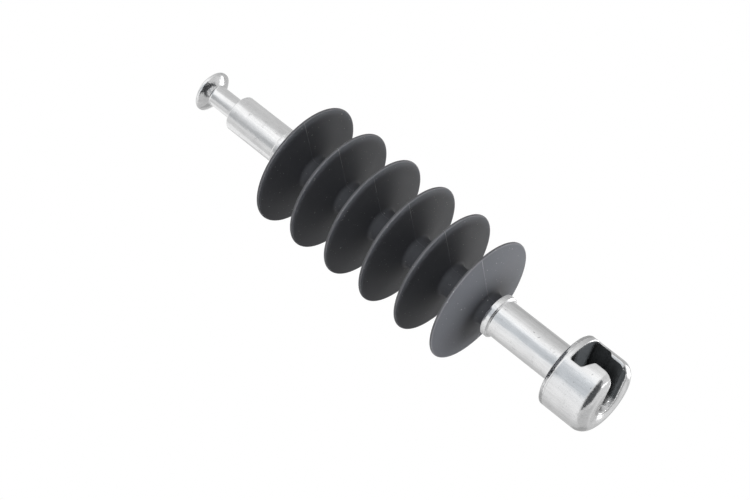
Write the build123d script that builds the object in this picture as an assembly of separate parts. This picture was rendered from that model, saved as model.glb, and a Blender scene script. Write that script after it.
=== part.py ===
"""Composite suspension insulator, 16 mm ball and socket coupling, in millimetres.

A glass fibre rod carries the load. A silicone rubber housing with weather sheds is
moulded round it, and a forged, galvanised fitting is crimped on each end: a socket at
the top, which takes the ball of the fitting above, and a ball at the bottom. A bead of
sealant closes the mouth of each fitting against the housing.

The axis is Z, with the socket up, as it hangs. The origin is the centre of the seat in
the socket. The socket opens towards -Y, and its locking pin hole is on the +Y side.
"""

import math
import os

from build123d import *

# Coupling: from the seat in the socket down to the underside of the ball.
coupling_length = 380.0
bond_line = 0.02  # radial gap between pieces that are bonded or crimped together

# Rod.
rod_radius = 9.0
crimp_depth = 48.0  # how far the rod goes into each fitting, from its mouth
rod_end_gap = 0.6  # air left past the rod's end in each blind bore

# Housing.
sheath_radius = 12.8
shed_count = 6
shed_pitch = 35.0
shed_radius = 50.0
shed_rim = 2.0  # thickness at the rim
shed_drop = 8.6  # how much lower the rim's middle is than the root of the upper face
shed_root = 6.4  # thickness at the root
root_fillet = 3.4
rim_round = 0.9
housing_drop = 193.6  # from the seat down to the middle of the sheds
mouth_spacing = 208.8  # between the mouths of the two fittings
tuck = 4.0  # how far the sheath goes into each fitting's mouth

# Barrel and collar, the same on both fittings.
barrel_radius = 14.65
collar_wall = 2.7  # radial thickness of the collar round the sealant
collar_width = 4.8
collar_round = 0.5
collar_fillet = 1.8
seal_gap = 1.5  # radial room for the sealant round the sheath
seal_stand = 1.1  # how far the bead stands out of the mouth
seal_lap = 3.0  # how deep the bead goes into the mouth

# Ball and its seat. The two touch on a ring, in the plane the coupling is measured from.
bearing_radius = 13.4
bearing_angle = 34.0  # degrees between the seat's cone and the horizontal
ball_radius = 16.6
ball_under_curve = 30.0  # radius of the curve of the ball's underside
ball_band = 1.5  # height of the ball's edge, below the widest section
ball_edge_round = 1.0
ball_height = 10.4  # from the bearing plane down to the bottom of the dome
shank_radius = 8.45
shank_length = 27.6  # from the bearing plane up to the barrel's shoulder
neck_fillet = 1.6
shoulder_round = 1.0

# Socket. The head's heights are measured from the bearing plane.
head_radius = 29.5
head_below_seat = 23.2
head_above_seat = 15.9
head_edge_round = 9.8
head_shoulder_round = 1.6
head_fillet = 3.0  # between the barrel and the head's underside
ball_room = 1.0  # radial room for the ball in the cavity
window_room = 0.8  # room for the ball on each side of the window
cavity_below_seat = 16.6
cavity_corner = 1.6
window_slant_start = 6.4  # below the seat
window_slant_end = 1.4  # below the seat
throat_room = 1.3  # radial room for the shank in the throat
throat_chamfer = 1.4
window_shoulder_round = 3.0  # where the window's sides turn in
throat_shoulder_round = 2.0  # where they meet the slot
window_edge_round = 0.9
locking_hole_radius = 3.0
locking_hole_below_seat = 13.2

# Places along the axis that several pieces share.
housing_mid = -housing_drop
upper_mouth = housing_mid + mouth_spacing / 2
lower_mouth = housing_mid - mouth_spacing / 2
mouth_radius = sheath_radius + seal_gap
collar_radius = mouth_radius + collar_wall
bore_radius = rod_radius + bond_line
ball_seat = -coupling_length
cavity_radius = ball_radius + ball_room
window_half_width = ball_radius + window_room
throat_radius = shank_radius + throat_room
bearing_slope = math.tan(math.radians(bearing_angle))


def near(outline, x, z):
    """The vertex of a sketch that is nearest to radius x and height z."""
    target = Vector(x, z)
    vertices = outline.vertices()
    return min(vertices, key=lambda vertex: (Vector(vertex.X, vertex.Y) - target).length)


def turned(profile):
    """A solid of revolution about Z from a sketch whose X is radius and Y is height."""
    return revolve(Plane.XZ * profile, Axis.Z, 360)


def make_core_rod():
    """The pultruded glass fibre rod, with a small chamfer on each end."""
    length = mouth_spacing + 2 * crimp_depth
    rod = Cylinder(rod_radius, length)
    rod = chamfer(rod.edges().filter_by(GeomType.CIRCLE), 0.8)
    return Pos(0, 0, housing_mid) * rod


def make_housing():
    """Sheath and sheds, moulded in one piece. The sheds slope down, away from the socket."""
    bottom = lower_mouth - tuck
    top = upper_mouth + tuck
    inner = rod_radius + bond_line
    points = [(inner, bottom), (sheath_radius, bottom)]
    roots, rims = [], []
    for index in range(shed_count):
        rim = housing_mid + (index - (shed_count - 1) / 2) * shed_pitch
        upper_root = rim + shed_drop
        lower_root = upper_root - shed_root
        roots += [(sheath_radius, lower_root), (sheath_radius, upper_root)]
        rims += [(shed_radius, rim - shed_rim / 2), (shed_radius, rim + shed_rim / 2)]
        points += [roots[-2], rims[-2], rims[-1], roots[-1]]
    points += [(sheath_radius, top), (inner, top)]
    outline = make_face(Polyline(*points, close=True))
    outline = fillet([near(outline, *p) for p in roots], root_fillet)
    outline = fillet([near(outline, *p) for p in rims], rim_round)
    return turned(outline)


def barrel_side(mouth, way, far_end):
    """Points of a fitting's outside and inside from its far end to the bore's bottom.

    way is +1 where the fitting goes up from its mouth, and -1 where it goes down.
    """
    collar_end = mouth + way * collar_width
    return [
        (barrel_radius, far_end),
        (barrel_radius, collar_end),
        (collar_radius, collar_end),
        (collar_radius, mouth),
        (mouth_radius, mouth),
        (mouth_radius, mouth + way * (tuck + bond_line)),
        (bore_radius, mouth + way * (tuck + bond_line)),
        (bore_radius, mouth + way * (crimp_depth + rod_end_gap)),
        (0, mouth + way * (crimp_depth + rod_end_gap)),
    ]


def soften_collar(outline, mouth, way):
    """Rounds the collar's edges and blends it into the barrel."""
    collar_end = mouth + way * collar_width
    edges = [(collar_radius, collar_end), (collar_radius, mouth)]
    outline = fillet([near(outline, *p) for p in edges], collar_round)
    return fillet(near(outline, barrel_radius, collar_end), collar_fillet)


def underside(radius):
    """Height of the ball's underside at a radius: a curve that touches the seat's cone."""
    turn = math.radians(bearing_angle)
    across = radius - bearing_radius + ball_under_curve * math.sin(turn)
    drop = ball_under_curve * math.cos(turn)
    return ball_seat - drop + math.sqrt(ball_under_curve**2 - across**2)


def make_ball_fitting():
    """Ball, shank and crimped barrel, forged in one piece."""
    shoulder = ball_seat + shank_length
    bottom = ball_seat - ball_height
    edge = underside(ball_radius) - ball_band
    rise = edge - bottom
    dome_radius = (ball_radius**2 + rise**2) / (2 * rise)
    halfway = ball_radius / 2
    dome_middle = bottom + dome_radius - math.sqrt(dome_radius**2 - halfway**2)
    dome = ThreePointArc((0, bottom), (halfway, dome_middle), (ball_radius, edge))
    band = Line((ball_radius, edge), (ball_radius, underside(ball_radius)))
    under = ThreePointArc(
        (ball_radius, underside(ball_radius)),
        (bearing_radius, ball_seat),
        (shank_radius, underside(shank_radius)),
    )
    rest = Polyline(
        (shank_radius, underside(shank_radius)),
        (shank_radius, shoulder),
        *barrel_side(lower_mouth, -1, shoulder),
        (0, bottom),
    )
    outline = make_face([dome, band, under, *rest.edges()])
    outline = fillet(near(outline, ball_radius, edge), ball_edge_round)
    outline = fillet(near(outline, shank_radius, underside(shank_radius)), neck_fillet)
    outline = fillet(near(outline, shank_radius, shoulder), neck_fillet)
    outline = fillet(near(outline, barrel_radius, shoulder), shoulder_round)
    outline = soften_collar(outline, lower_mouth, -1)
    return turned(outline)


def socket_void():
    """What is cut out of the head: cavity, seat, throat, and the window and slot to them."""
    top = head_above_seat
    seat_start = (bearing_radius - cavity_radius) * bearing_slope
    seat_end = (bearing_radius - throat_radius) * bearing_slope
    mouth = [
        (throat_radius, top - throat_chamfer),
        (throat_radius + throat_chamfer, top),
        (throat_radius + throat_chamfer, top + 1),
    ]
    cavity = make_face(
        Polyline(
            (0, -cavity_below_seat),
            (cavity_radius, -cavity_below_seat),
            (cavity_radius, seat_start),
            (throat_radius, seat_end),
            *mouth,
            (0, top + 1),
            close=True,
        )
    )
    cavity = fillet(near(cavity, cavity_radius, -cavity_below_seat), cavity_corner)
    half = [
        (window_half_width, -cavity_below_seat),
        (window_half_width, -window_slant_start),
        (throat_radius, -window_slant_end),
        *mouth,
    ]
    window = make_face(Polyline(*half, *[(-x, z) for x, z in reversed(half)], close=True))
    corners = [(x, -cavity_below_seat) for x in (window_half_width, -window_half_width)]
    window = fillet([near(window, *p) for p in corners], cavity_corner)
    turns = [(x, -window_slant_start) for x in (window_half_width, -window_half_width)]
    window = fillet([near(window, *p) for p in turns], window_shoulder_round)
    shoulders = [(x, -window_slant_end) for x in (throat_radius, -throat_radius)]
    window = fillet([near(window, *p) for p in shoulders], throat_shoulder_round)
    shaft = extrude(Plane.XZ * window, head_radius + 1)
    return turned(cavity) + shaft


def on_window_rim(edge):
    """Whether an edge runs round the window, on the head's outer cylinder."""
    low = -head_below_seat + head_shoulder_round
    inside = low < edge.center().Z < head_above_seat - head_edge_round
    radii = [math.hypot(point.X, point.Y) for point in (edge @ 0.1, edge @ 0.5, edge @ 0.9)]
    return inside and all(abs(radius - head_radius) < 0.01 for radius in radii)


def make_socket_fitting():
    """Socket head and crimped barrel, forged in one piece."""
    under = -head_below_seat
    outline = make_face(
        Polyline(
            (0, head_above_seat),
            (head_radius, head_above_seat),
            (head_radius, under),
            *barrel_side(upper_mouth, 1, under),
            close=True,
        )
    )
    outline = fillet(near(outline, head_radius, head_above_seat), head_edge_round)
    outline = fillet(near(outline, head_radius, under), head_shoulder_round)
    outline = fillet(near(outline, barrel_radius, under), head_fillet)
    outline = soften_collar(outline, upper_mouth, 1)
    fitting = turned(outline) - socket_void()
    rim = fitting.edges().filter_by(on_window_rim)
    fitting = fillet(rim, window_edge_round)
    hole = Pos(0, 0, -locking_hole_below_seat) * Rot(X=-90) * Cylinder(
        locking_hole_radius, head_radius + 1, align=(Align.CENTER, Align.CENTER, Align.MIN)
    )
    return fitting - hole


def make_seal(mouth, way):
    """The sealant in a fitting's mouth, with a bead that stands out against the sheath."""
    inner = sheath_radius + bond_line
    outer = mouth_radius - bond_line
    outline = make_face(
        Polyline(
            (inner, mouth + way * seal_lap),
            (outer, mouth + way * seal_lap),
            (outer, mouth),
            (inner, mouth - way * seal_stand),
            close=True,
        )
    )
    return turned(outline)


def main():
    os.makedirs("parts", exist_ok=True)
    pieces = {
        "core_rod": make_core_rod(),
        "housing": make_housing(),
        "ball_fitting": make_ball_fitting(),
        "socket_fitting": make_socket_fitting(),
        "ball_end_seal": make_seal(lower_mouth, -1),
        "socket_end_seal": make_seal(upper_mouth, 1),
    }
    for name, piece in pieces.items():
        export_step(piece, f"parts/{name}.step")


main()
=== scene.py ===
"""Looks of the composite suspension insulator: its rubber, its galvanised fittings, its
sealant, and the studio round it. Everything is in metres in the model's own frame."""

import math

import bmesh
import bpy
from mathutils import Matrix, Vector


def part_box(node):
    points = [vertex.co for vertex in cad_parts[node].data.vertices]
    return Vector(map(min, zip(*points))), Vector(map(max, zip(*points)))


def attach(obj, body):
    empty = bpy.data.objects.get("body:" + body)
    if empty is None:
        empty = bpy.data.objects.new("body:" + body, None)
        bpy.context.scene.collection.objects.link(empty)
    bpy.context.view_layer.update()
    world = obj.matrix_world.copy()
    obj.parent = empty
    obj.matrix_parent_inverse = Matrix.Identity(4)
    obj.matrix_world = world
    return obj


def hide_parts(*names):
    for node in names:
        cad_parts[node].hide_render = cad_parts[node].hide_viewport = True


MM = 0.001

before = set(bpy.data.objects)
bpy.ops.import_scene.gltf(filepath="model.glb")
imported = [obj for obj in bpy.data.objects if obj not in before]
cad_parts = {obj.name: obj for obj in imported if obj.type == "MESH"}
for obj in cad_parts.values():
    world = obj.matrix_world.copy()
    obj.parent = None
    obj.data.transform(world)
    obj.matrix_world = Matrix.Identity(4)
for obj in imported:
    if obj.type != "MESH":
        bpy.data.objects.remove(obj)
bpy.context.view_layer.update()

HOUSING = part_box("housing")
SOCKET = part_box("socket_fitting")
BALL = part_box("ball_fitting")

# Azimuths, in degrees round the axis: 0 is the side of the socket's window, -Y, and they
# grow towards +X.
PARTING_AZIMUTH = 25.0

# Housing.
SHED_COUNT = 6
SHED_PITCH = 35.0 * MM
SHEATH_RADIUS = 12.8 * MM
ROD_RADIUS = 9.02 * MM
SHED_RIM = 2.0 * MM
SHED_DROP = 8.6 * MM
SHED_ROOT = 6.4 * MM
ROOT_FILLET = 3.4 * MM
RIM_ROUND = 0.95 * MM
SHED_RADIUS = (HOUSING[1][0] - HOUSING[0][0]) / 2 - 0.05 * MM
HOUSING_MID = (HOUSING[1][2] + HOUSING[0][2]) / 2
FIRST_RIM = HOUSING_MID - (SHED_COUNT - 1) / 2 * SHED_PITCH
HOUSING_SIDES = 160
FLASH_WIDTH = 0.36 * MM
FLASH_INSET = 0.10 * MM  # how far the ridge sinks into a shed's rim

# Socket head, for where its finish and its painted shade change. LIP_CLEAN is the width of
# the band at a lip that is left clear of painted shade, and SHOULDER_TURN the height over
# which the lower edge looks turned under.
HEAD_RADIUS = (SOCKET[1][0] - SOCKET[0][0]) / 2
HEAD_TOP = SOCKET[1][2]
HEAD_EDGE_ROUND = 9.8 * MM
CAVITY_FLOOR = -16.6 * MM
LIP_CLEAN = 0.9 * MM
SHOULDER = -23.2 * MM
SHOULDER_TURN = 4.4 * MM

# Meshes: vertices this close are one, and edges sharper than these degrees stay sharp.
MERGE = 1e-6
FORGING_MERGE = 1e-7
HOUSING_SHARP = 40
FORGING_SHARP = 28
SPINDLE_RADIUS = 1e-5  # of the circle that an outline is turned on


def around(azimuth, radius, height):
    """A point at an azimuth, a radius from the axis, and a height."""
    turn = math.radians(azimuth)
    return Vector((math.sin(turn) * radius, -math.cos(turn) * radius, height))


# Node trees.


def plug(tree, socket, value):
    """Links a Wire to an input, or sets its value."""
    if isinstance(value, Wire):
        tree.links.new(value.socket, socket)
    else:
        socket.default_value = value


class Wire:
    """A value in a node tree. Arithmetic on it adds Math nodes."""

    def __init__(self, tree, socket=None):
        self.tree = tree
        self.socket = socket

    def add(self, kind, settings=None, inputs=None, output=0):
        """Adds a node with its settings, then its inputs by name or place."""
        node = self.tree.nodes.new(kind)
        for name, value in (settings or {}).items():
            setattr(node, name, value)
        for key, value in (inputs or {}).items():
            plug(self.tree, node.inputs[key], value)
        return Wire(self.tree, node.outputs[output])

    def math(self, operation, *values):
        """A Math node on the given values."""
        return self.add("ShaderNodeMath", {"operation": operation}, dict(enumerate(values)))

    def __add__(self, other):
        return self.math("ADD", self, other)

    def __radd__(self, other):
        return self.math("ADD", other, self)

    def __sub__(self, other):
        return self.math("SUBTRACT", self, other)

    def __rsub__(self, other):
        return self.math("SUBTRACT", other, self)

    def __mul__(self, other):
        return self.math("MULTIPLY", self, other)

    def __rmul__(self, other):
        return self.math("MULTIPLY", other, self)

    def __truediv__(self, other):
        return self.math("DIVIDE", self, other)

    def clipped(self):
        """This value, kept between 0 and 1."""
        return self.math("MINIMUM", self.math("MAXIMUM", self, 0.0), 1.0)

    def step(self, start, end):
        """0 below start, 1 above end, and smooth between them."""
        return self.add(
            "ShaderNodeMapRange",
            {"interpolation_type": "SMOOTHSTEP"},
            {"Value": self, "From Min": start, "From Max": end, "To Min": 0.0, "To Max": 1.0},
        )

    def mix(self, low, high):
        """The colour low where this value is 0, and high where it is 1."""
        return self.add(
            "ShaderNodeMix",
            {"data_type": "RGBA"},
            {"Factor": self, 6: low, 7: high},
            2,
        )


def material(name, slot_colour, build):
    """A material whose Principled BSDF is filled in by build(wire, surface)."""
    made = bpy.data.materials.new(name)
    made.use_nodes = True
    made.diffuse_color = (*slot_colour, 1)
    tree = made.node_tree
    surface = tree.nodes["Principled BSDF"]
    build(Wire(tree), surface)
    return made


def place(wire):
    """Object coordinates, whole and as X, Y and Z."""
    point = wire.add("ShaderNodeTexCoord", output="Object")
    split = wire.tree.nodes.new("ShaderNodeSeparateXYZ")
    wire.tree.links.new(point.socket, split.inputs[0])
    return point, *[Wire(wire.tree, output) for output in split.outputs]


def mottle(wire, point, scale, detail=3.0, roughness=0.55, stretch=(1, 1, 1)):
    """Noise in metres: scale is patches per metre."""
    moved = wire.add(
        "ShaderNodeMapping", {"vector_type": "POINT"}, {"Vector": point, "Scale": stretch}
    )
    return wire.add(
        "ShaderNodeTexNoise",
        {"noise_dimensions": "3D"},
        {"Vector": moved, "Scale": scale, "Detail": detail, "Roughness": roughness},
    )


def bump(wire, height, distance, strength=1.0, under=None):
    """A Bump node, in metres, on top of another one if given."""
    inputs = {"Height": height, "Distance": distance, "Strength": strength}
    if under is not None:
        inputs["Normal"] = under
    return wire.add("ShaderNodeBump", None, inputs)


def tinted(colour, factor=1.0):
    """A colour made darker or paler, with an alpha of 1."""
    return (*[part * factor for part in colour], 1)


def off_axis(wire, x, y):
    """Distance from the axis."""
    return wire.math("SQRT", x * x + y * y)


BLACK = (0.0, 0.0, 0.0)
GALVANISED = (0.830, 0.832, 0.836)
# Painted shade with dark scale, for the inside of the socket.
SHADE_AND_SCALE_DARK = (0.026, 0.028, 0.030)
SHADE_AND_SCALE_PALE = (0.054, 0.059, 0.063)
RUBBER = (0.068, 0.071, 0.080)
RUBBER_IOR = 1.36
# Paler rims: wear, with a painted highlight.
RIM_WEAR_AND_HIGHLIGHT = (0.15, 0.15, 0.16)
# Paler patches on the flash ridge: wear, with a painted highlight.
FLASH_WEAR_AND_HIGHLIGHT = (0.24, 0.24, 0.25)
DUST_SPECK = (0.34, 0.34, 0.34)
SEALANT = (0.012, 0.012, 0.013)
FIBREGLASS = (0.72, 0.70, 0.58)


def galvanised(wire, surface):
    """Zinc on a forging: bright, drawn along the axis, with dull patches, runs and pits.

    Inside the socket it is dark with scale and grease and with painted shade, down to a clean
    band at each lip and at the closed end of the throat, where the ball's shank has rubbed.
    """
    point, x, y, z = place(wire)
    radius = off_axis(wire, x, y)
    across = wire.math("MAXIMUM", radius - (HEAD_RADIUS - HEAD_EDGE_ROUND), 0.0)
    along = wire.math("MAXIMUM", z - (HEAD_TOP - HEAD_EDGE_ROUND), 0.0)
    depth = HEAD_EDGE_ROUND - wire.math("SQRT", across * across + along * along)
    ragged = (mottle(wire, point, 500.0, 2.0) - 0.5) * 0.8 * MM
    far_lip = z.step(-2.0 * MM, 0.0) * (1 - z.step(11.0 * MM, 13.0 * MM))
    lip = LIP_CLEAN * (1 + far_lip * (0 - x).step(4.0 * MM, 8.0 * MM) * 1.9)
    # The inside of the socket is painted dark: painted shade in the cavity, with scale.
    shaded_inside = (depth + ragged - lip).step(-0.3 * MM, 0.5 * MM)
    shaded_inside = shaded_inside * z.step(CAVITY_FLOOR - 0.4 * MM, CAVITY_FLOOR)
    rubbed = y.step(1.0 * MM, 8.5 * MM) * z.step(0.0, 4.0 * MM)
    shaded_inside = shaded_inside * (1 - rubbed * 0.75)

    cloud = mottle(wire, point, 70.0, 3.0)
    streak = mottle(wire, point, 520.0, 3.0, 0.6, (1, 1, 0.07))
    grain = mottle(wire, point, 1300.0, 2.0)
    spots = mottle(wire, point, 170.0, 4.0, 0.7).step(0.58, 0.70)
    pits = mottle(wire, point, 420.0, 1.0).step(0.72, 0.80)

    tone = 0.93 + (cloud - 0.5) * 0.20 + (streak - 0.5) * 0.30 + (grain - 0.5) * 0.14
    tone = tone - spots * 0.12 - pits * 0.30
    zinc = tone.clipped().mix(tinted(BLACK), tinted(GALVANISED))
    # Dark scale mottled with painted shade, for the inside of the socket.
    scale = mottle(wire, point, 300.0).mix(tinted(SHADE_AND_SCALE_DARK), tinted(SHADE_AND_SCALE_PALE))
    colour = shaded_inside.mix(zinc, scale)
    plug(wire.tree, surface.inputs["Base Color"], colour)
    plug(wire.tree, surface.inputs["Metallic"], 1 - shaded_inside * 0.9)
    rough = 0.17 + spots * 0.16 + (cloud - 0.5) * 0.12 + (streak - 0.5) * 0.10 + shaded_inside * 0.4
    plug(wire.tree, surface.inputs["Roughness"], rough)

    turned_under = 1 - (z - SHOULDER).step(0.0, SHOULDER_TURN)
    turned_under = turned_under * (radius - HEAD_RADIUS).step(-0.6 * MM, -0.3 * MM)
    edge = bump(wire, 1 - turned_under, SHOULDER_TURN * 0.42, 1.0)
    in_slot = depth.step(0.05 * MM, 0.3 * MM) * z.step(CAVITY_FLOOR, 0.0)
    worn = wire.math("MINIMUM", depth, lip * 1.1) * in_slot
    edge = bump(wire, worn, 1.0, 0.8, edge)
    waves = bump(wire, cloud, 0.5 * MM, 0.5, edge)
    ripple = mottle(wire, point, 420.0, 2.0, 0.5, (1, 1, 0.45))
    waves = bump(wire, ripple, 0.11 * MM, 0.6, waves)
    drawn = bump(wire, streak, 0.08 * MM, 0.6, waves)
    plug(wire.tree, surface.inputs["Normal"], bump(wire, 1 - pits, 0.10 * MM, 0.6, drawn))


def moulded_rubber(wire, surface):
    """Silicone rubber: dark grey, with a faint bloom of dust, a few specks, and pale rims:
    wear, with a painted highlight.
    """
    point, x, y, _ = place(wire)
    cloud = mottle(wire, point, 45.0, 3.0)
    grain = mottle(wire, point, 2600.0, 2.0)
    specks = mottle(wire, point, 620.0, 1.0).step(0.735, 0.775)
    rim = off_axis(wire, x, y).step(SHED_RADIUS - 1.3 * MM, SHED_RADIUS - 0.5 * MM)
    dust = (cloud - 0.35).clipped() * 0.5 + (grain - 0.5) * 0.2
    colour = dust.clipped().mix(tinted(RUBBER, 0.88), tinted(RUBBER, 1.5))
    # The rims are paler: a painted highlight, mottled with wear.
    colour = (rim * (0.35 + cloud * 0.5)).mix(colour, tinted(RIM_WEAR_AND_HIGHLIGHT))
    colour = (specks * 0.8).mix(colour, tinted(DUST_SPECK))
    plug(wire.tree, surface.inputs["Base Color"], colour)
    plug(wire.tree, surface.inputs["Roughness"], 0.56 + (cloud - 0.5) * 0.16 + specks * 0.2)
    skin = bump(wire, grain, 0.03 * MM, 0.5)
    plug(wire.tree, surface.inputs["Normal"], bump(wire, cloud, 0.4 * MM, 0.3, skin))
    surface.inputs["IOR"].default_value = RUBBER_IOR


def flash_rubber(wire, surface):
    """The thin ridge of flash at the mould's parting, paler in patches: wear, with a painted
    highlight.
    """
    point, x, y, _ = place(wire)
    reach = off_axis(wire, x, y).step(SHEATH_RADIUS, SHED_RADIUS)
    # Paler patches on the ridge: wear, with a painted highlight.
    worn = mottle(wire, point, 160.0, 3.0).step(0.30, 0.65) * reach
    colour = worn.mix(tinted(RUBBER, 1.2), tinted(FLASH_WEAR_AND_HIGHLIGHT))
    plug(wire.tree, surface.inputs["Base Color"], colour)
    plug(wire.tree, surface.inputs["Roughness"], 0.6 - worn * 0.1)


def sealant(wire, surface):
    """Black sealant, smoothed by hand."""
    point = place(wire)[0]
    drag = mottle(wire, point, 220.0, 3.0, 0.6, (1, 1, 0.3))
    colour = drag.mix(tinted(SEALANT, 0.7), tinted(SEALANT, 1.8))
    plug(wire.tree, surface.inputs["Base Color"], colour)
    plug(wire.tree, surface.inputs["Roughness"], 0.38 + drag * 0.2)
    plug(wire.tree, surface.inputs["Normal"], bump(wire, drag, 0.3 * MM, 0.6))


def pultruded_rod(wire, surface):
    """Glass fibre in resin, with its strands along the rod."""
    point = place(wire)[0]
    strands = mottle(wire, point, 1400.0, 3.0, 0.6, (1, 1, 0.02))
    colour = strands.mix(tinted(FIBREGLASS, 0.7), tinted(FIBREGLASS))
    plug(wire.tree, surface.inputs["Base Color"], colour)
    plug(wire.tree, surface.inputs["Roughness"], 0.35 + strands * 0.2)
    plug(wire.tree, surface.inputs["Normal"], bump(wire, strands, 0.05 * MM, 0.5))


galvanised_steel = material("galvanised_steel", GALVANISED, galvanised)
silicone_rubber = material("silicone_rubber", RUBBER, moulded_rubber)
mould_flash = material("mould_flash", RUBBER, flash_rubber)
sealing_compound = material("sealing_compound", SEALANT, sealant)
fibreglass = material("fibreglass", FIBREGLASS, pultruded_rod)


# Geometry Nodes.


def new_tree(name, inputs):
    """An empty Geometry Nodes tree with a Geometry input and output and named inputs."""
    tree = bpy.data.node_groups.new(name, "GeometryNodeTree")
    tree.interface.new_socket("Geometry", in_out="INPUT", socket_type="NodeSocketGeometry")
    for label, kind in inputs:
        tree.interface.new_socket(label, in_out="INPUT", socket_type=kind)
    tree.interface.new_socket("Geometry", in_out="OUTPUT", socket_type="NodeSocketGeometry")
    source = tree.nodes.new("NodeGroupInput")
    given = {output.name: Wire(tree, output) for output in source.outputs if output.name}
    return tree, given


def give_out(tree, geometry, finish):
    """Ends a tree: instances made real, doubles merged, shaded smooth, material set."""
    wire = Wire(tree)
    real = wire.add("GeometryNodeRealizeInstances", None, {"Geometry": geometry})
    merged = wire.add("GeometryNodeMergeByDistance", None, {"Geometry": real, "Distance": MERGE})
    smooth = wire.add("GeometryNodeSetShadeSmooth", None, {"Geometry": merged})
    made = wire.add("GeometryNodeSetMaterial", None, {"Geometry": smooth, "Material": finish})
    sink = tree.nodes.new("NodeGroupOutput")
    tree.links.new(made.socket, sink.inputs[0])


def up_the_axis(wire, given, instance):
    """Copies of an instance at even steps up the axis."""
    start = wire.add("ShaderNodeCombineXYZ", None, {"Z": given["Start"]})
    pitch = wire.add("ShaderNodeCombineXYZ", None, {"Z": given["Pitch"]})
    places = wire.add(
        "GeometryNodeMeshLine",
        {"mode": "OFFSET", "count_mode": "TOTAL"},
        {"Count": given["Count"], "Start Location": start, "Offset": pitch},
    )
    return wire.add(
        "GeometryNodeInstanceOnPoints", None, {"Points": places, "Instance": instance}
    )


def put(name, data):
    """A new object in the scene."""
    made = bpy.data.objects.new(name, data)
    bpy.context.scene.collection.objects.link(made)
    return made


def grown(name, outline, tree, values):
    """A plain mesh object that a tree makes from an outline, with its inputs by name."""
    base = bpy.data.meshes.new(name + "_outline")
    base.from_pydata(outline, [(i, i + 1) for i in range(len(outline) - 1)], [])
    piece = put(name, base)
    modifier = piece.modifiers.new(name, "NODES")
    modifier.node_group = tree
    inputs = [item for item in tree.interface.items_tree if item.in_out == "INPUT"]
    sockets = {item.name: item.identifier for item in inputs}
    for label, value in values.items():
        modifier[sockets[label]] = value
    bpy.context.view_layer.update()
    evaluated = piece.evaluated_get(bpy.context.evaluated_depsgraph_get())
    made = bpy.data.meshes.new_from_object(evaluated)
    piece.modifiers.remove(modifier)
    piece.data = made
    return piece


def turned_tree():
    """Turns an outline (X is radius, Z is height) about Z, and repeats it up the axis."""
    tree, given = new_tree(
        "turned_and_repeated",
        [
            ("Sides", "NodeSocketInt"),
            ("Count", "NodeSocketInt"),
            ("Pitch", "NodeSocketFloat"),
            ("Start", "NodeSocketFloat"),
            ("Finish", "NodeSocketMaterial"),
        ],
    )
    wire = Wire(tree)
    outline = wire.add("GeometryNodeMeshToCurve", None, {"Mesh": given["Geometry"]})
    upright = wire.add(
        "GeometryNodeTransform",
        None,
        {"Geometry": outline, "Rotation": (math.pi / 2, 0, 0)},
    )
    circle = wire.add(
        "GeometryNodeCurvePrimitiveCircle",
        {"mode": "RADIUS"},
        {"Resolution": given["Sides"], "Radius": SPINDLE_RADIUS},
    )
    turned = wire.add(
        "GeometryNodeCurveToMesh", None, {"Curve": circle, "Profile Curve": upright}
    )
    give_out(tree, up_the_axis(wire, given, turned), given["Finish"])
    return tree


def arc(centre, radius, first, last, count):
    """Points on an arc in the plane of X and Z, between two angles in degrees."""
    spread = [first + (last - first) * i / (count - 1) for i in range(count)]
    turns = [math.radians(angle) for angle in spread]
    return [(centre[0] + radius * math.cos(t), 0, centre[1] + radius * math.sin(t)) for t in turns]


def rounded(points, radii, count=9):
    """An open outline through points (X, Z), with its corners rounded to the given radii."""
    made = []
    for index, (point, radius) in enumerate(zip(points, radii)):
        if not radius:
            made.append((point[0], 0, point[1]))
            continue
        here = Vector(point)
        back = (Vector(points[index - 1]) - here).normalized()
        on = (Vector(points[index + 1]) - here).normalized()
        half = back.angle(on) / 2
        centre = here + (back + on).normalized() * (radius / math.sin(half))
        reach = radius / math.tan(half)
        ends = [here + back * reach - centre, here + on * reach - centre]
        first, last = [math.degrees(math.atan2(end.y, end.x)) for end in ends]
        if last - first > 180:
            last -= 360
        if first - last > 180:
            last += 360
        made += arc(centre, radius, first, last, count)
    return made


def shed_outline():
    """One pitch of sheath with its shed, from bottom to top, about the rim's middle."""
    low, high = -SHED_PITCH / 2 + SHED_DROP / 2, SHED_PITCH / 2 + SHED_DROP / 2
    points = [
        (SHEATH_RADIUS, low),
        (SHEATH_RADIUS, SHED_DROP - SHED_ROOT),
        (SHED_RADIUS, -SHED_RIM / 2),
        (SHED_RADIUS, SHED_RIM / 2),
        (SHEATH_RADIUS, SHED_DROP),
        (SHEATH_RADIUS, high),
    ]
    return rounded(points, [0, ROOT_FILLET, RIM_ROUND, RIM_ROUND, ROOT_FILLET, 0])


def make_housing():
    """The rubber housing: one shed and its stretch of sheath, repeated up the rod."""
    tree = turned_tree()
    low = FIRST_RIM - SHED_PITCH / 2 + SHED_DROP / 2
    high = low + SHED_COUNT * SHED_PITCH
    shared = {"Sides": HOUSING_SIDES, "Finish": silicone_rubber}
    repeats = {"Count": SHED_COUNT, "Pitch": SHED_PITCH, "Start": FIRST_RIM}
    sheds = grown("housing_sheds", shed_outline(), tree, {**shared, **repeats})
    bore = [
        (SHEATH_RADIUS, 0, high),
        (SHEATH_RADIUS, 0, HOUSING[1][2]),
        (ROD_RADIUS, 0, HOUSING[1][2]),
        (ROD_RADIUS, 0, HOUSING[0][2]),
        (SHEATH_RADIUS, 0, HOUSING[0][2]),
        (SHEATH_RADIUS, 0, low),
    ]
    once = {"Count": 1, "Pitch": 0.0, "Start": 0.0}
    return joined(grown("housing", bore, tree, {**shared, **once}), sheds)


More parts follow.
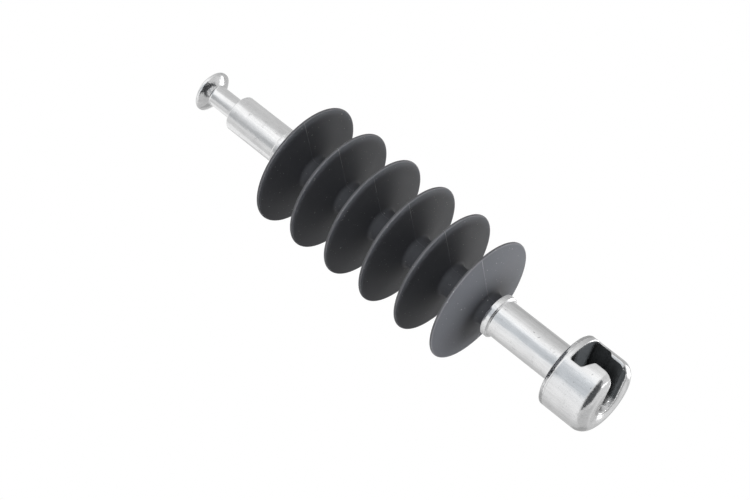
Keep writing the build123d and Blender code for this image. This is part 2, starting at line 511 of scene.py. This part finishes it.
def joined(piece, other):
    """Moves another's mesh into a piece, merges doubles and turns the faces outwards."""
    whole = bmesh.new()
    for part in (piece, other):
        whole.from_mesh(part.data)
    bmesh.ops.remove_doubles(whole, verts=whole.verts, dist=MERGE)
    bmesh.ops.recalc_face_normals(whole, faces=whole.faces)
    for face in whole.faces:
        face.smooth = True
    mesh = bpy.data.meshes.new(piece.name)
    whole.to_mesh(mesh)
    whole.free()
    mesh.materials.append(piece.data.materials[0])
    mesh.set_sharp_from_angle(angle=math.radians(HOUSING_SHARP))
    piece.data = mesh
    bpy.data.objects.remove(other)
    return piece


def flash_tree():
    """A thin ridge along the shed's outline, on both sides of the mould, up the axis."""
    tree, given = new_tree(
        "mould_flash_lines",
        [
            ("Azimuth", "NodeSocketFloat"),
            ("Width", "NodeSocketFloat"),
            ("Count", "NodeSocketInt"),
            ("Pitch", "NodeSocketFloat"),
            ("Start", "NodeSocketFloat"),
            ("Finish", "NodeSocketMaterial"),
        ],
    )
    wire = Wire(tree)
    outline = wire.add("GeometryNodeMeshToCurve", None, {"Mesh": given["Geometry"]})
    section = wire.add(
        "GeometryNodeCurvePrimitiveCircle",
        {"mode": "RADIUS"},
        {"Resolution": 6, "Radius": given["Width"] / 2},
    )
    ridge = wire.add(
        "GeometryNodeCurveToMesh",
        None,
        {"Curve": outline, "Profile Curve": section, "Fill Caps": True},
    )
    sides = []
    for offset in (0.0, math.pi):
        turn = wire.add("ShaderNodeCombineXYZ", None, {"Z": given["Azimuth"] + offset})
        sides.append(
            wire.add("GeometryNodeTransform", None, {"Geometry": ridge, "Rotation": turn})
        )
    both = tree.nodes.new("GeometryNodeJoinGeometry")
    for side in sides:
        tree.links.new(side.socket, both.inputs[0])
    give_out(tree, up_the_axis(wire, given, Wire(tree, both.outputs[0])), given["Finish"])
    return tree


def make_mould_flash():
    """The line that the mould's two halves leave down the housing."""
    near_rim = SHED_RADIUS - MM
    outline = [(x - FLASH_INSET if x > near_rim else x, y, z) for x, y, z in shed_outline()]
    return grown(
        "mould_flash_line",
        outline,
        flash_tree(),
        {
            "Azimuth": math.radians(PARTING_AZIMUTH - 90),
            "Width": FLASH_WIDTH,
            "Count": SHED_COUNT,
            "Pitch": SHED_PITCH,
            "Start": FIRST_RIM,
            "Finish": mould_flash,
        },
    )


def smooth_copy(name, node, finish):
    """A CAD node's shape as one smooth-shaded mesh with its sharp edges kept."""
    whole = bmesh.new()
    whole.from_mesh(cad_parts[node].data)
    bmesh.ops.remove_doubles(whole, verts=whole.verts, dist=FORGING_MERGE)
    for face in whole.faces:
        face.smooth = True
        face.material_index = 0
    mesh = bpy.data.meshes.new(name)
    whole.to_mesh(mesh)
    whole.free()
    mesh.materials.append(finish)
    mesh.set_sharp_from_angle(angle=math.radians(FORGING_SHARP))
    return put(name, mesh)


def dress(node, finish):
    """Gives a CAD node its finish."""
    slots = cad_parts[node].data.materials
    slots.clear()
    slots.append(finish)


housing = make_housing()
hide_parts("housing")
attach(housing, "root")

mould_line = make_mould_flash()
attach(mould_line, "root")

for forged in ("ball_fitting", "socket_fitting"):
    forging = smooth_copy(forged + "_forging", forged, galvanised_steel)
    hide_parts(forged)
    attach(forging, "root")

dress("core_rod", fibreglass)
dress("ball_end_seal", sealing_compound)
dress("socket_end_seal", sealing_compound)


# Studio. Lengths are in metres, angles in degrees, and shades are strengths of light.

FLOOR_DROP = 1.0
FLOOR_REACH = 14.0
FLOOR_SHADE = 0.9
WORLD_LEVEL = 0.16  # what the surroundings shed on the object; they show as 1

# The tent's walls stand at these distances from the axis.
WALL_REACH = 1.0
UPPER_REACH = 1.02
FLAG_REACH = 0.97
DARK_REACH = 0.98
DARK_OVERHANG = 0.45  # where the dark flag ends under the roof

# Heights of the walls, from the seat in the socket.
UPPER_FOOT = 0.34
HIGH_ROWS = (0.36, -0.50)  # the shades beside the socket's end
LOW_ROWS = (-0.78, -1.6)  # the shades beside the ball's end
DARK_FOOT = 0.52
BACK_FLAG_HEIGHTS = (-0.22, 0.36)
SIDE_WINDOW_HEIGHTS = (0.08, 0.62)

ROOF_HEIGHT = 2.2
UNDER_ROOF = ROOF_HEIGHT - 0.02
ROOF_HALF = 1.1
ROOF_SHADE = 0.76
ROOF_WINDOW_HALF = 0.34
ROOF_WINDOW_SHADE = 2.0
ROOF_WINDOW_AZIMUTH = -12.0

# Columns of azimuth, shade and blueness.
DARK_FLAG = [(14, 0.07, 0.1), (121, 0.07, 0.1)]
BACK_FLAG = [(196, 0.42, 0), (219, 0.42, 0)]
SIDE_WINDOW = [(240, 0.9, 0), (250, 3.0, 0), (278, 3.0, 0), (288, 0.9, 0)]
UPPER_WALL = [
    (-128, 0.80, 0), (-40, 0.72, 0), (120, 0.72, 0), (165, 0.56, 0), (215, 0.60, 0),
    (232, 0.80, 0),
]
SOCKET_SIDE = [
    (-128, 0.60, 0), (-70, 0.52, 0), (-25, 0.70, 0), (0, 0.90, 0), (18, 1.16, 0),
    (34, 1.12, 0.03), (42, 0.80, 0.08), (62, 0.62, 0.10), (76, 0.64, 0.10), (90, 1.00, 0.02),
    (120, 1.00, 0), (150, 0.86, 0), (182, 0.62, 0), (232, 0.58, 0),
]
BALL_SIDE = [
    (-128, 0.64, 0), (-60, 0.62, 0), (-12, 0.68, 0), (14, 0.80, 0), (26, 1.34, 0),
    (50, 1.34, 0), (64, 0.92, 0.03), (84, 0.46, 0.06), (112, 0.38, 0.05), (115, 0.95, 0),
    (121, 0.95, 0), (124, 0.76, 0), (140, 0.74, 0), (162, 0.72, 0), (190, 0.74, 0),
    (232, 0.70, 0),
]

# Lamps: azimuth, elevation, distance, side and power in watts.
LAMPS = {
    "overhead": (20.0, 84.0, 1.4, 0.35, 29.0),
    "front": (60.0, 6.0, 1.4, 0.8, 9.0),
}

# Camera: its lens and sensor in millimetres, where it stands, and how far it is moved to
# its left and down.
LENS = 98.05
SENSOR = 36.0
SHOT_AZIMUTH = 52.0
SHOT_ELEVATION = 24.184
SHOT_ROLL = 128.42
SHOT_DISTANCE = 1.48728
SHOT_LEFT = 0.01078
SHOT_DOWN = 0.01398


def seen_directly(tree):
    """1 for rays from the camera and for reflected and transmitted rays, and 0 for others."""
    rays = tree.nodes.new("ShaderNodeLightPath").outputs
    seen = Wire(tree, rays["Is Camera Ray"]) + Wire(tree, rays["Is Glossy Ray"])
    return (seen + Wire(tree, rays["Is Transmission Ray"])).clipped()


def pale_floor(wire, surface):
    """A white floor that keeps a shadow and shows white to the camera and to reflections."""
    seen = seen_directly(wire.tree)
    surface.inputs["Base Color"].default_value = (FLOOR_SHADE,) * 3 + (1,)
    surface.inputs["Roughness"].default_value = 0.9
    surface.inputs["Specular IOR Level"].default_value = 0.0
    glow = wire.add("ShaderNodeEmission", None, {"Color": (1, 1, 1, 1), "Strength": 1.0})
    matt = Wire(wire.tree, surface.outputs[0])
    both = wire.add("ShaderNodeMixShader", None, {0: seen, 1: matt, 2: glow})
    output = wire.tree.nodes["Material Output"]
    wire.tree.links.new(both.socket, output.inputs["Surface"])


def square(middle, half, height):
    """The corners of a level square."""
    signs = [(-1, -1), (1, -1), (1, 1), (-1, 1)]
    return [(middle.x + half * a, middle.y + half * b, height) for a, b in signs]


def sheet(name, corners, finish):
    """A flat four-sided stage piece."""
    mesh = bpy.data.meshes.new(name)
    mesh.from_pydata(corners, [], [(0, 1, 2, 3)])
    mesh.materials.append(finish)
    piece = put(name, mesh)
    return piece


def glow(shade):
    """Builds a material that only shines: in a colour, or as its mesh says where it's None."""

    def build(wire, surface):
        surface.inputs["Base Color"].default_value = (0, 0, 0, 1)
        surface.inputs["Roughness"].default_value = 1.0
        surface.inputs["Specular IOR Level"].default_value = 0.0
        surface.inputs["Emission Strength"].default_value = 1.0
        light = shade
        if light is None:
            light = wire.add("ShaderNodeAttribute", {"attribute_name": "shade"})
        plug(wire.tree, surface.inputs["Emission Color"], light)

    return build


def only_reflected(piece):
    """Leaves a stage piece out of all but reflections."""
    piece.visible_camera = False
    piece.visible_diffuse = False
    piece.visible_shadow = False
    piece.visible_transmission = False


def curtain(name, rows, finish):
    """A sheet that stands round the object and shows only in its reflections.

    Each row is a reach from the axis, a height, and columns of azimuth, shade and
    blueness, which blend.
    """
    width = len(rows[0][2])
    points, shades, faces = [], [], []
    for reach, height, columns in rows:
        for azimuth, shade, blue in columns:
            points.append(around(azimuth, reach, height))
            shades.append((shade, shade * (1 + blue / 2), shade * (1 + blue), 1))
    for row in range(len(rows) - 1):
        for column in range(width - 1):
            corner = row * width + column
            faces.append((corner, corner + 1, corner + width + 1, corner + width))
    mesh = bpy.data.meshes.new(name)
    mesh.from_pydata(points, [], faces)
    layer = mesh.color_attributes.new("shade", "FLOAT_COLOR", "POINT")
    for place_in_layer, shade in zip(layer.data, shades):
        place_in_layer.color = shade
    mesh.materials.append(finish)
    piece = put(name, mesh)
    only_reflected(piece)


def even(columns, count):
    """Columns at even steps between the given ones."""
    made = []
    for first, last in zip(columns, columns[1:]):
        for step in range(count):
            made.append(tuple(a + (b - a) * step / count for a, b in zip(first, last)))
    return [*made, columns[-1]]


def make_tent():
    """The light tent: walls of white and grey strips, a roof, and what hangs before them.

    The strips lean, so the ones beside the socket's end are not those beside the ball's.
    The dark flag hangs high on the camera's side and reaches in under the roof. The back
    flag and the side window hang on the far side.
    """
    high, low = even(SOCKET_SIDE, 5), even(BALL_SIDE, 5)
    rows = [(WALL_REACH, height, high) for height in HIGH_ROWS]
    rows += [(WALL_REACH, height, low) for height in LOW_ROWS]
    curtain("light_tent", rows, material("tent_cloth", (0.8, 0.8, 0.8), glow(None)))

    flag_cloth = material("flag_cloth", (0.1, 0.1, 0.1), glow(None))
    upper = even(UPPER_WALL, 12)
    rows = [(UPPER_REACH, height, upper) for height in (UPPER_FOOT, ROOF_HEIGHT)]
    curtain("upper_tent", rows, flag_cloth)
    back_flag = even(BACK_FLAG, 8)
    rows = [(FLAG_REACH, height, back_flag) for height in BACK_FLAG_HEIGHTS]
    curtain("back_flag", rows, flag_cloth)
    side_window = even(SIDE_WINDOW, 6)
    rows = [(FLAG_REACH, height, side_window) for height in SIDE_WINDOW_HEIGHTS]
    curtain("side_window", rows, flag_cloth)
    dark = even(DARK_FLAG, 10)
    rows = [
        (DARK_REACH, DARK_FOOT, dark),
        (DARK_REACH, UNDER_ROOF, dark),
        (DARK_OVERHANG, UNDER_ROOF, dark),
    ]
    curtain("dark_flag", rows, flag_cloth)

    window_middle = around(ROOF_WINDOW_AZIMUTH, WALL_REACH, 0.0)
    for name, shade, middle, half, height in (
        ("tent_roof", ROOF_SHADE, Vector(), ROOF_HALF, ROOF_HEIGHT),
        ("roof_window", ROOF_WINDOW_SHADE, window_middle, ROOF_WINDOW_HALF, UNDER_ROOF),
    ):
        cloth = material(name + "_cloth", (shade / 2,) * 3, glow((shade, shade, shade, 1)))
        only_reflected(sheet(name, square(middle, half, height), cloth))


def panel(name, azimuth, elevation, distance, side, power):
    """A soft lamp that faces the middle of the object."""
    lamp = bpy.data.lights.new(name, "AREA")
    lamp.shape = "RECTANGLE"
    lamp.size = lamp.size_y = side
    lamp.energy = power
    stand = put(name, lamp)
    lift = math.radians(elevation)
    away = around(azimuth, math.cos(lift), math.sin(lift))
    stand.location = Vector((0, 0, HOUSING_MID)) + away * distance
    stand.rotation_mode = "QUATERNION"
    stand.rotation_quaternion = away.to_track_quat("Z", "Y")
    stand.visible_camera = False
    stand.visible_glossy = False


def make_floor():
    """A wide floor, well below the object."""
    corners = square(Vector(), FLOOR_REACH, BALL[0][2] - FLOOR_DROP)
    sheet("floor", corners, material("pale_floor", (FLOOR_SHADE,) * 3, pale_floor))


def make_world():
    """Plain surroundings that show as white and light the object softly."""
    world = bpy.data.worlds.new("white_room")
    bpy.context.scene.world = world
    world.use_nodes = True
    tree = world.node_tree
    background = tree.nodes["Background"]
    background.inputs["Color"].default_value = (1, 1, 1, 1)
    strength = WORLD_LEVEL + seen_directly(tree) * (1 - WORLD_LEVEL)
    plug(tree, background.inputs["Strength"], strength)


def make_camera():
    """The camera: it looks at the middle of the housing, rolled so that the axis slants."""
    lens = bpy.data.cameras.new("camera")
    lens.lens = LENS
    lens.sensor_width = SENSOR
    lens.clip_start, lens.clip_end = 0.05, 100.0
    camera = put("camera", lens)
    elevation = math.radians(SHOT_ELEVATION)
    roll = math.radians(SHOT_ROLL)
    back = around(SHOT_AZIMUTH, math.cos(elevation), math.sin(elevation))
    level = Vector((0, 0, 1)).cross(back).normalized()
    upright = back.cross(level)
    right = level * math.cos(roll) + upright * math.sin(roll)
    up = upright * math.cos(roll) - level * math.sin(roll)
    aim = Vector((0, 0, HOUSING_MID))
    camera.location = aim + back * SHOT_DISTANCE - right * SHOT_LEFT - up * SHOT_DOWN
    camera.rotation_mode = "QUATERNION"
    camera.rotation_quaternion = Matrix((right, up, back)).transposed().to_quaternion()
    bpy.context.scene.camera = camera


make_floor()
make_world()
make_camera()
for lamp_name, lamp_values in LAMPS.items():
    panel(lamp_name, *lamp_values)
make_tent()

bpy.context.scene.view_settings.view_transform = "Standard"
